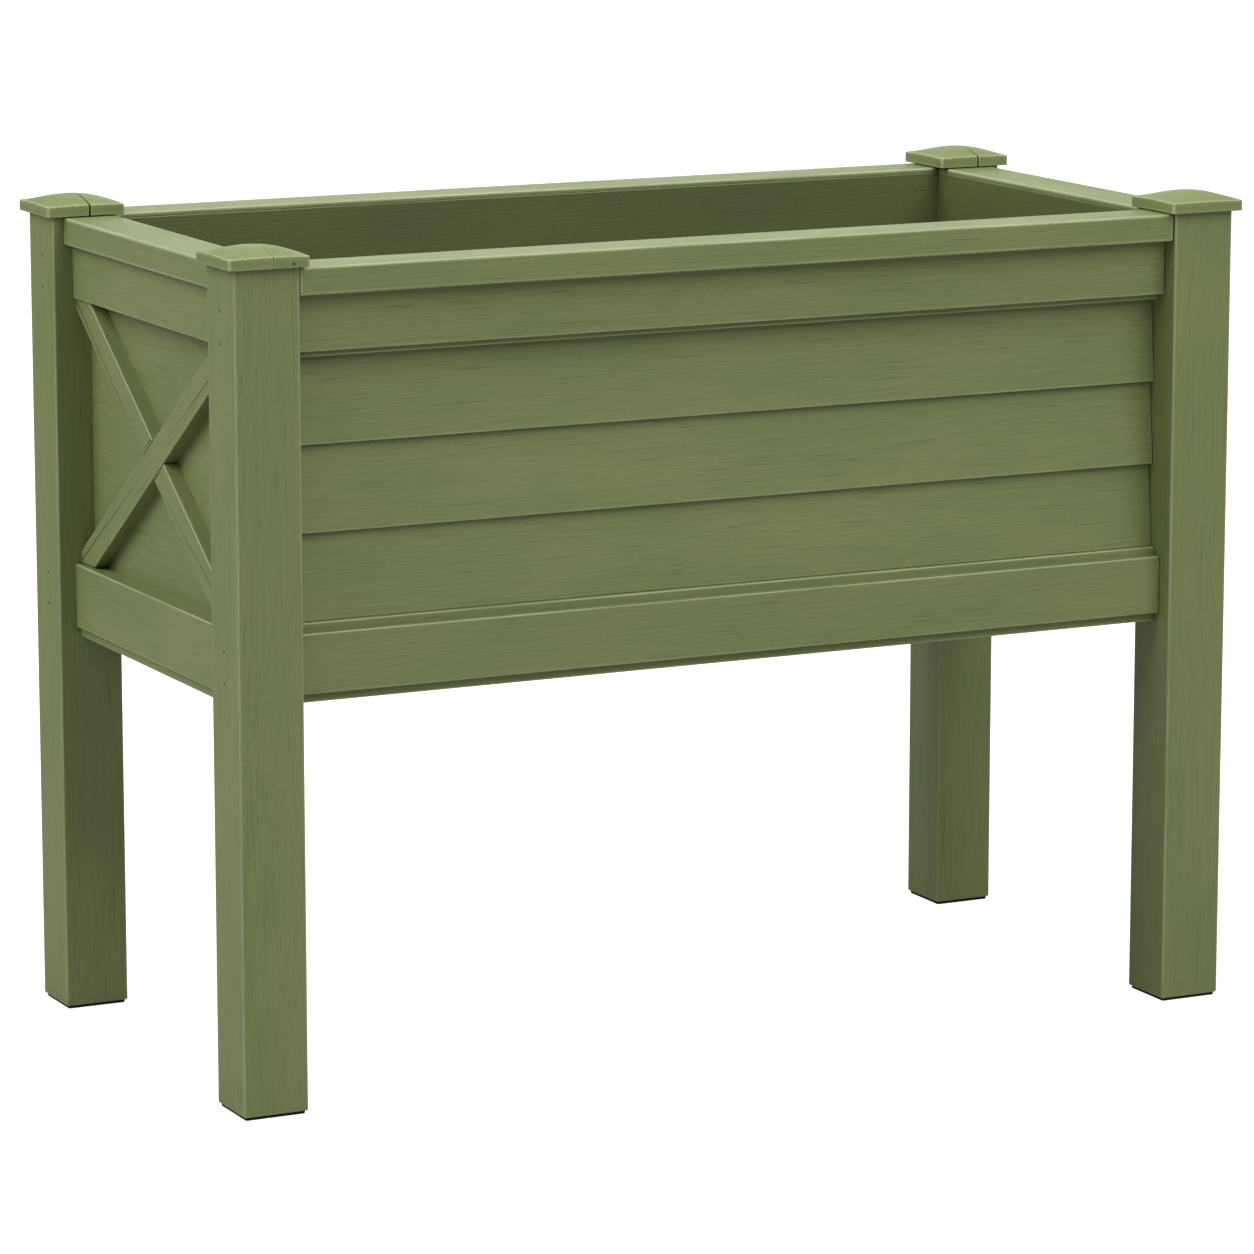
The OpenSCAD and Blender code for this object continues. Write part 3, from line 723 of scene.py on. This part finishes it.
class PLANTER_OT_caps(bpy.types.Operator):
    """Makes the four pillow-shaped post caps, each of two boards glued edge to edge"""

    bl_idname = "planter.caps"
    bl_label = "Post caps"

    def execute(self, context):
        """The joint runs from front to back, and along the box on the front right cap. It is a
        little open on the rear caps. One board of the front left cap has a pinhole in its side."""
        s = sizes()
        pin_inset = 0.016
        for corner, (_, sy) in CORNERS.items():
            node = "post_cap_" + corner
            low, high = (np.array(c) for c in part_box(node))
            middle = (low + high) / 2
            half = (high[0] - low[0]) / 2
            joint = s.cap_open_joint if sy > 0 else s.cap_tight_joint
            p, q = (-Y, X) if corner == "front_right" else (X, Y)
            split = s.cap_board - half
            lines = {"wide_board": (-half, split - joint / 2), "narrow_board": (split + joint / 2, half)}
            for label, (start, end) in lines.items():
                pinned = corner == "front_left" and label == "narrow_board"
                surface = self.board(start, end, half, joint, high[2] - low[2], p, q,
                                     half - pin_inset if pinned else None)
                surface = (surface[0] + [middle[0], middle[1], low[2]], *surface[1:])
                make_piece(node + "_" + label, surface, (q, p, Z), "painted_outside", node)
        return {"FINISHED"}

    @staticmethod
    def board(start, end, half, joint, height, p, q, pin):
        """One board of a cap, between two lines across it.

        With a and b the two coordinates over the half side, the top lies at
        edge + rise (0.8 (1 - a a)(1 - b b) + 0.2 (1 - (a a + b b) / 2)).
        Rings climb the side, round its top edge on a quarter circle, and close in towards the
        middle of the board on that top. At pin, the near side sinks into a small round hole,
        whose wall is 1 - e e (3 - 2 e) of its depth deep, with e from 0 to 1 at its rim.
        """
        s = sizes()
        rise = height - s.cap_edge
        at_joint = 0.0005 if joint < 0.001 else 0.0009  # radius of the edges beside the joint
        under = 0.0008  # radius of the bottom edges
        strip, margin = 0.0014, 0.007  # flat strip beside a corner, and distance from it to the next points
        pin_radius, pin_height, pin_depth, pin_clear = 0.0017, 0.0036, 0.0022, 0.003
        is_second = start > -half + TINY
        first, last = (at_joint, s.cap_corner) if is_second else (s.cap_corner, at_joint)
        outline = Outline(rectangle((start, end), (-half, half)), [first, last, last, first], strip)
        shares = np.linspace(0, 1, 11)[1:-1]
        steps = pin_radius * np.array([-1.25, -1, -0.85, -0.7, -0.35, 0, 0.35, 0.7, 0.85, 1, 1.25])
        for edge in (3, 2, 1, 0):
            long = 2 * half if edge % 2 else end - start
            at = margin + shares * (long - 2 * margin)
            if edge == 0 and pin is not None:
                at = np.sort(np.concatenate([at[np.abs(at + start - pin) > pin_clear], pin - start + steps]))
            outline.mark(edge, at)
        by_joint = outline.normal @ np.array([-1.0 if is_second else 1.0, 0.0]) > 0.5
        r = np.where(by_joint, at_joint, s.cap_rounding)

        def top(at):
            """The height of the top over a point."""
            a, b = at[..., 0] / half, at[..., 1] / half
            return s.cap_edge + rise * (0.8 * (1 - a * a) * (1 - b * b) + 0.2 * (1 - (a * a + b * b) / 2))

        def lean(at):
            """The upward normal of the top, from the heights a small step to each side."""
            step = 1e-4
            centre = at * (1 - 1e-3)
            gx = (top(centre + [step, 0]) - top(centre - [step, 0])) / (2 * step)
            gy = (top(centre + [0, step]) - top(centre - [0, step])) / (2 * step)
            return np.stack([-gx, -gy, np.ones_like(gx)], -1)

        t = np.linspace(0, np.pi / 2, 6)[:, None]
        bottom = np.linspace(0, np.pi / 2, 4)[::-1, None]
        low_flat = outline.inset(under * (1 - np.cos(bottom)))
        low_z = under * (1 - np.sin(bottom)) + 0 * r
        low_normal = np.concatenate([np.cos(bottom)[..., None] * outline.normal,
                                     -np.sin(bottom)[..., None] + 0 * low_z[..., None]], -1)
        side = outline.inset(np.zeros(1)[:, None])
        side_top = top(side) - r
        shares = np.array([0.3, 0.7]) if pin is None else (pin_height + steps - under) / (s.cap_edge - under)
        side_z = under + shares[:, None] * (side_top - under)
        side_flat = np.repeat(side, len(shares), 0)
        side_normal = np.repeat(outline.normal[None], len(shares), 0)
        side_normal = np.concatenate([side_normal, 0 * side_z[..., None]], -1)
        if pin is not None:
            far = np.hypot(side_flat[..., 0] - pin, side_z - pin_height)
            e = np.clip((far / pin_radius - 0.7) / 0.3, 0, 1)
            hole = (1 - e * e * (3 - 2 * e)) * (outline.normal[:, 1] < -0.999)
            side_flat[..., 1] += pin_depth * hole
        arc_flat = outline.inset(r * (1 - np.cos(t)))
        arc_z = top(arc_flat) - r * (1 - np.sin(t))
        crown = lean(arc_flat)
        arc_normal = (np.cos(t)[..., None] * np.concatenate([outline.normal, 0 * r[:, None]], -1)
                      + np.sin(t)[..., None] * crown / np.linalg.norm(crown, axis=-1, keepdims=True))
        rim = arc_flat[-1]
        centre = np.array([(start + end) / 2, 0.0])
        share = np.array([0.05, 0.13, 0.24, 0.36, 0.48, 0.6, 0.72, 0.84, 0.95])[:, None, None]
        in_flat = rim + share * (centre - rim)
        in_z = top(in_flat)
        in_normal = lean(in_flat)
        flat = np.concatenate([low_flat, side_flat, arc_flat, in_flat])
        height_at = np.concatenate([low_z, side_z, arc_z, in_z])
        normals = np.concatenate([low_normal, side_normal, arc_normal, in_normal])
        points = flat[..., :1] * p + flat[..., 1:] * q + height_at[..., None] * Z
        normals = normals[..., :1] * p + normals[..., 1:2] * q + normals[..., 2:] * Z
        # Painted highlight and wear: the top edges of a cap are painted lighter, most along the crown of
        # their rounding.
        rubbed_and_highlight = np.concatenate([np.full(len(bottom), 0.3), 0 * shares, 0.4 + 0.6 * np.sin(2 * t[:, 0]),
                                 [0.1], np.zeros(len(in_flat) - 1)])
        below_crown = np.arange(len(flat)) < len(flat) - len(in_flat)
        wear_and_highlight = np.maximum(rubbed_and_highlight[:, None], outline.wear_and_highlight * below_crown[:, None])
        wear_and_highlight = wear_and_highlight * np.where(by_joint, 0.2, 1.0)
        return skin(points, normals, wear_and_highlight)


class PLANTER_OT_top_rails(bpy.types.Operator):
    """Makes the four top rails"""

    bl_idname = "planter.top_rails"
    bl_label = "Top rails"

    def execute(self, context):
        """A rail's section is a rounded rectangle with a rabbet under its inner edge, which is
        as wide as the lining is thick and leaves a lip over the lining's top."""
        r = sizes().rail_rounding
        for side in SIDES:
            node, axes = "top_rail_" + side, SIDES[side]
            p, q, along = spans(node, axes)
            lining = spans("lining_" + side, axes)
            if side in ("front", "rear"):
                step, shelf = lining[0][0], lining[1][1]
                corners = [(p[0], q[0]), (step, q[0]), (step, shelf), (p[1], shelf),
                           (p[1], q[1]), (p[0], q[1])]
                rounding = [r, INNER_CORNER, INNER_CORNER, LOWER_EDGE, r, r]
            else:
                step, shelf = lining[1][0], lining[0][1]
                corners = [(p[0], q[0]), (p[1], q[0]), (p[1], q[1]), (shelf, q[1]),
                           (shelf, step), (p[0], step)]
                rounding = [r, r, r, LOWER_EDGE, INNER_CORNER, INNER_CORNER]
            straight_board(node, corners, rounding, r, axes, along)
        return {"FINISHED"}


class PLANTER_OT_trim(bpy.types.Operator):
    """Makes the frieze boards, the aprons, the backing strips and the sills"""

    bl_idname = "planter.trim"
    bl_label = "Friezes, aprons and backings"

    def execute(self, context):
        """Boards that show have rounder ends than the strips and sills behind and below them."""
        r = sizes().board_rounding
        for side in SIDES:
            plank("frieze_board_" + side, side, r, 0.7 * r)
            plank("apron_" + side, side, r, 0.7 * r)
        for side in ("front", "rear"):
            plank("upper_backing_" + side, side, r, 0.4 * r)
            plank("lower_backing_" + side, side, r, 0.4 * r)
        for side in ("left", "right"):
            plank("end_sill_" + side, side, 0.7 * r, 0.4 * r)
        return {"FINISHED"}


class PLANTER_OT_siding(bpy.types.Operator):
    """Makes the lapped siding boards of the long walls"""

    bl_idname = "planter.siding"
    bl_label = "Siding"

    def execute(self, context):
        """A siding board's section has a face that leans in as it climbs, and a rabbet behind
        its bottom edge for the thin top of the board below. Board 1 is the top one, which laps
        under nothing, and board 3 the bottom one, which has no rabbet."""
        s = sizes()
        lap, gap = s.siding_overlap, s.siding_gap
        for side in ("front", "rear"):
            axes = SIDES[side]
            for k in (1, 2, 3):
                node = f"siding_{side}_{k}"
                p, q, along = spans(node, axes)
                tip = 0 if k == 1 else lap
                slope = s.siding_lean / (q[1] - q[0] - tip)
                face_top = (p[0] + slope * (q[1] - q[0]), q[1])
                if k < 3:
                    inner = p[0] + s.siding_lean - gap
                    rise = q[0] + lap + gap
                    corners = [(p[0], q[0]), (inner, q[0]), (inner + slope * lap, rise), (p[1], rise),
                               (p[1], q[1]), face_top]
                    rounding = [LOWER_EDGE, CREASE, CREASE, CREASE, THIN_EDGE, THIN_EDGE]
                else:
                    corners = [(p[0], q[0]), (p[1], q[0]), (p[1], q[1]), face_top]
                    rounding = [LOWER_EDGE, THIN_EDGE, THIN_EDGE, THIN_EDGE]
                straight_board(node, corners, rounding, THIN_EDGE, axes, along)
        return {"FINISHED"}


class PLANTER_OT_end_panels(bpy.types.Operator):
    """Makes the panels of the end walls"""

    bl_idname = "planter.end_panels"
    bl_label = "End panels"

    def execute(self, context):
        edge_radius, end_radius = 0.0008, 0.0006
        for side in ("left", "right"):
            plank("end_panel_" + side, side, edge_radius, end_radius)
        return {"FINISHED"}


def kept(corners, point, outward):
    """The part of a convex outline behind a line, given a point on it and its outward direction.

    Each edge that crosses the line gives the point at share h0 / (h0 - h1) along it, where h0
    and h1 are the heights of its ends over the line.
    """
    height = (corners - point) @ outward
    after, height_after = np.roll(corners, -1, 0), np.roll(height, -1)
    on_line = 1e-9  # an end no higher than this counts as behind the line
    crosses = (height > on_line) != (height_after > on_line)
    share = height / np.where(crosses, height - height_after, 1)
    crossing = corners + share[:, None] * (after - corners)
    both = np.stack([corners, crossing], 1).reshape(-1, 2)
    return both[np.stack([height <= on_line, crosses], 1).ravel()]


class PLANTER_OT_braces(bpy.types.Operator):
    """Makes the crossed braces of the end walls: a full-length one and two halves against it"""

    bl_idname = "planter.braces"
    bl_label = "Braces"

    def execute(self, context):
        """Each brace is a strip, trimmed to the field between frieze and apron, carried through
        the thickness of the wall. The strip of a half brace is trimmed to the long brace's edge."""
        s = sizes()
        for side in ("left", "right"):
            axes = (Y, Z, X) if side == "left" else (-Y, Z, -X)
            p, q, through = spans("long_brace_" + side, axes)
            middle = np.array([p.sum() / 2, q.sum() / 2])
            angle = math.atan2(q[1] - q[0], p[1] - p[0] - 2 * s.brace_inset)
            long_way = np.array([math.cos(angle), -math.sin(angle)])
            half_way = np.array([math.cos(angle), math.sin(angle)])
            field = rectangle(p, q)
            shape = self.strip(field, middle, long_way)
            self.brace("long_brace_" + side, shape, long_way, axes, through, middle)
            edge = np.array([-long_way[1], long_way[0]])
            for label, sign in (("upper", 1), ("lower", -1)):
                shape = self.strip(field, middle, half_way)
                shape = kept(shape, middle + sign * edge * s.brace_width / 2, -sign * edge)
                self.brace(label + "_half_brace_" + side, shape, half_way, axes, through, None)
        return {"FINISHED"}

    @staticmethod
    def strip(field, middle, way):
        """The part of the field within half a brace's width of a line through its middle."""
        across = np.array([-way[1], way[0]]) * sizes().brace_width / 2
        shape = kept(field, middle + across, across)
        return kept(shape, middle - across, -across)

    @staticmethod
    def brace(node, corners, way, axes, through, screw):
        """A brace from its outline, which shrinks towards its middle by the end gap for each
        gap_span from it. The face of the long brace closes in on a dimple over its screw: rings
        run from the outline to a circle round the screw, and sink inside it."""
        s = sizes()
        gap_span, corner_radius, face_radius = 0.1, 0.0010, 0.0013
        middle = corners.mean(0)
        corners = middle + (corners - middle) * (1 - s.end_gap / gap_span)
        outline = Outline(corners, corner_radius, s.fringe)
        points, normals, wear_and_highlight = carried(outline, *through, (face_radius, CREASE), s.fringe, axes)
        if screw is not None:
            p, q, axis = axes
            flat = outline.inset(np.array([0.0025]))
            angle = np.arctan2(flat[:, 1] - screw[1], flat[:, 0] - screw[0])
            circle = np.stack([np.cos(angle), np.sin(angle)], 1)
            share = np.array([0.02, 0.25, 0.5, 0.62, 0.74, 0.86, 1.0, 1.3])[:, None]
            sunk, slope = dimple(share, s.dimple_depth, s.dimple_radius)
            at = screw + share[..., None] * s.dimple_radius * circle
            new = at[..., :1] * p + at[..., 1:] * q + (through[0] + sunk)[..., None] * axis
            out = circle[:, :1] * p + circle[:, 1:] * q
            new_normals = -axis - slope[..., None] * out
            points = np.concatenate([new, points])
            normals = np.concatenate([new_normals, normals])
            wear_and_highlight = np.concatenate([np.zeros(new.shape[:2]), wear_and_highlight])
        along = way[0] * axes[0] + way[1] * axes[1]
        across = -way[1] * axes[0] + way[0] * axes[1]
        make_piece(node + "_wood", skin(points, normals, 0.7 * wear_and_highlight), (along, across, axes[2]),
                   "painted_outside", node)


class PLANTER_OT_lining(bpy.types.Operator):
    """Makes the lining boards inside the box"""

    bl_idname = "planter.lining"
    bl_label = "Lining"

    def execute(self, context):
        end_radius = 0.0005
        for side in SIDES:
            plank("lining_" + side, side, sizes().inner_rounding, end_radius, "painted_inside")
        return {"FINISHED"}


class PLANTER_OT_floor_boards(bpy.types.Operator):
    """Makes the cleats and the slats of the box's floor"""

    bl_idname = "planter.floor_boards"
    bl_label = "Cleats and slats"

    def execute(self, context):
        r = sizes().inner_rounding
        for side in ("front", "rear"):
            plank("floor_cleat_" + side, side, r, r, "painted_inside")
        for node in sorted(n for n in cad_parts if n.startswith("floor_slat_")):
            plank(node, "left", r, r, "painted_inside")
        return {"FINISHED"}


class PLANTER_OT_hardware(bpy.types.Operator):
    """Gives the screws and dowels inside the wood their finishes"""

    bl_idname = "planter.hardware"
    bl_label = "Screws and dowels"

    def execute(self, context):
        for node, name in (("frame_screws", "zinc_screw"), ("brace_screws", "zinc_screw"),
                           ("cleat_screws", "zinc_screw"), ("dowels", "bare_wood")):
            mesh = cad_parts[node].data
            mesh.materials.clear()
            mesh.materials.append(finish(name))
        return {"FINISHED"}


# ---------------------------------------------------------------- stage


class PLANTER_OT_studio(bpy.types.Operator):
    """Makes the floor, the light and the camera"""

    bl_idname = "planter.studio"
    bl_label = "Studio"

    def execute(self, context):
        s = context.scene.planter_studio
        half = s.floor_size / 2
        mesh = bpy.data.meshes.new("studio_floor")
        corners = [(-half, -half, 0), (half, -half, 0), (half, half, 0), (-half, half, 0)]
        mesh.from_pydata(corners, [], [(0, 1, 2, 3)])
        material, tree, shader = new_finish("studio_floor")
        shader.inputs["Base Color"].default_value = solid(s.floor_colour)
        shader.inputs["Roughness"].default_value = 0.9
        shader.inputs["Specular IOR Level"].default_value = 0.1
        shader.inputs["Emission Color"].default_value = (1.0, 1.0, 1.0, 1.0)
        seen = add(tree, "ShaderNodeLightPath").outputs["Is Camera Ray"]
        tree.links.new(times(tree, seen, s.floor_glow), shader.inputs["Emission Strength"])
        mesh.materials.append(material)
        floor = bpy.data.objects.new("studio_floor", mesh)
        context.scene.collection.objects.link(floor)
        world = bpy.data.worlds.new("studio_sky")
        world.use_nodes = True
        sky = world.node_tree.nodes["Background"]
        sky.inputs["Color"].default_value = (1.0, 1.0, 1.0, 1.0)
        seen = add(world.node_tree, "ShaderNodeLightPath").outputs["Is Camera Ray"]
        strength = spread(world.node_tree, seen, 0.0, 1.0, s.sky_strength, 1.0)
        world.node_tree.links.new(strength, sky.inputs["Strength"])
        context.scene.world = world
        context.scene.view_settings.view_transform = "Standard"
        self.light("top_light", (0.0, -0.1, 2.6), (0.0, 0.0, 0.5), 1.4, s.top_power)
        self.light("left_light", (-4.5, 0.3, 4.5), (0.0, 0.0, 0.5), 4.6, s.left_power)
        self.light("front_light", (1.7, -4.3, 4.6), (0.0, 0.0, 0.5), 4.6, s.front_power)
        self.light("rear_light", (2.7, 5.4, 1.9), (0.0, 0.0, 0.6), 2.8, s.rear_power)
        self.camera(context, s.focal_length)
        return {"FINISHED"}

    @staticmethod
    def aimed(at, towards):
        """The place of a light or camera that looks from one point towards another."""
        at, towards = np.array(at), np.array(towards)
        back = at - towards
        back = back / np.linalg.norm(back)
        right = np.cross(Y if abs(back[2]) > 0.999 else Z, back)
        right = right / np.linalg.norm(right)
        up = np.cross(back, right)
        place = np.eye(4)
        place[:3] = np.stack([right, up, back, at], 1)
        return Matrix(place.tolist())

    def light(self, name, at, towards, side, power):
        """A square area light."""
        data = bpy.data.lights.new(name, "AREA")
        data.shape = "SQUARE"
        data.size = side
        data.energy = power
        made = bpy.data.objects.new(name, data)
        made.matrix_world = self.aimed(at, towards)
        bpy.context.scene.collection.objects.link(made)

    def camera(self, context, focal_length):
        """The camera stands at the front left and looks slightly down."""
        data = bpy.data.cameras.new("camera")
        data.sensor_width = 36.0
        data.lens = focal_length
        data.clip_end = 200.0
        data.dof.use_dof = False
        made = bpy.data.objects.new("camera", data)
        yaw, pitch = math.radians(26.371), math.radians(10.836)
        at = np.array([-2.4341, -4.9015, 1.4183])
        ahead = np.array([math.sin(yaw) * math.cos(pitch), math.cos(yaw) * math.cos(pitch), -math.sin(pitch)])
        made.matrix_world = self.aimed(at, at + ahead)
        context.scene.collection.objects.link(made)
        context.scene.camera = made


PIECES = (
    PLANTER_OT_posts, PLANTER_OT_foot_pads, PLANTER_OT_caps, PLANTER_OT_top_rails, PLANTER_OT_trim,
    PLANTER_OT_siding, PLANTER_OT_end_panels, PLANTER_OT_braces, PLANTER_OT_lining,
    PLANTER_OT_floor_boards, PLANTER_OT_hardware, PLANTER_OT_studio,
)


class PLANTER_PT_panel(bpy.types.Panel):
    """Lists the pieces, and the sizes and colours that can be changed"""

    bl_idname = "PLANTER_PT_panel"
    bl_label = "Raised planter"
    bl_space_type = "VIEW_3D"
    bl_region_type = "UI"
    bl_category = "Planter"

    def draw(self, context):
        layout = self.layout
        for operator in PIECES:
            layout.operator(operator.bl_idname)
        scene = context.scene
        for group in (scene.planter_sizes, scene.planter_finish, scene.planter_studio):
            box = layout.box()
            for name in group.__annotations__:
                box.prop(group, name)


CLASSES = (PlanterSizes, PlanterFinish, PlanterStudio, *PIECES, PLANTER_PT_panel)


def register():
    """Registers the classes and hangs the three groups of properties on the scene."""
    for cls in CLASSES:
        bpy.utils.register_class(cls)
    bpy.types.Scene.planter_sizes = PointerProperty(type=PlanterSizes)
    bpy.types.Scene.planter_finish = PointerProperty(type=PlanterFinish)
    bpy.types.Scene.planter_studio = PointerProperty(type=PlanterStudio)


def unregister():
    """Takes back what register did."""
    del bpy.types.Scene.planter_studio
    del bpy.types.Scene.planter_finish
    del bpy.types.Scene.planter_sizes
    for cls in reversed(CLASSES):
        bpy.utils.unregister_class(cls)


def main():
    """Makes every piece and the studio."""
    register()
    for operator in PIECES:
        group, name = operator.bl_idname.split(".")
        getattr(getattr(bpy.ops, group), name)()


if __name__ == "__main__":
    main()
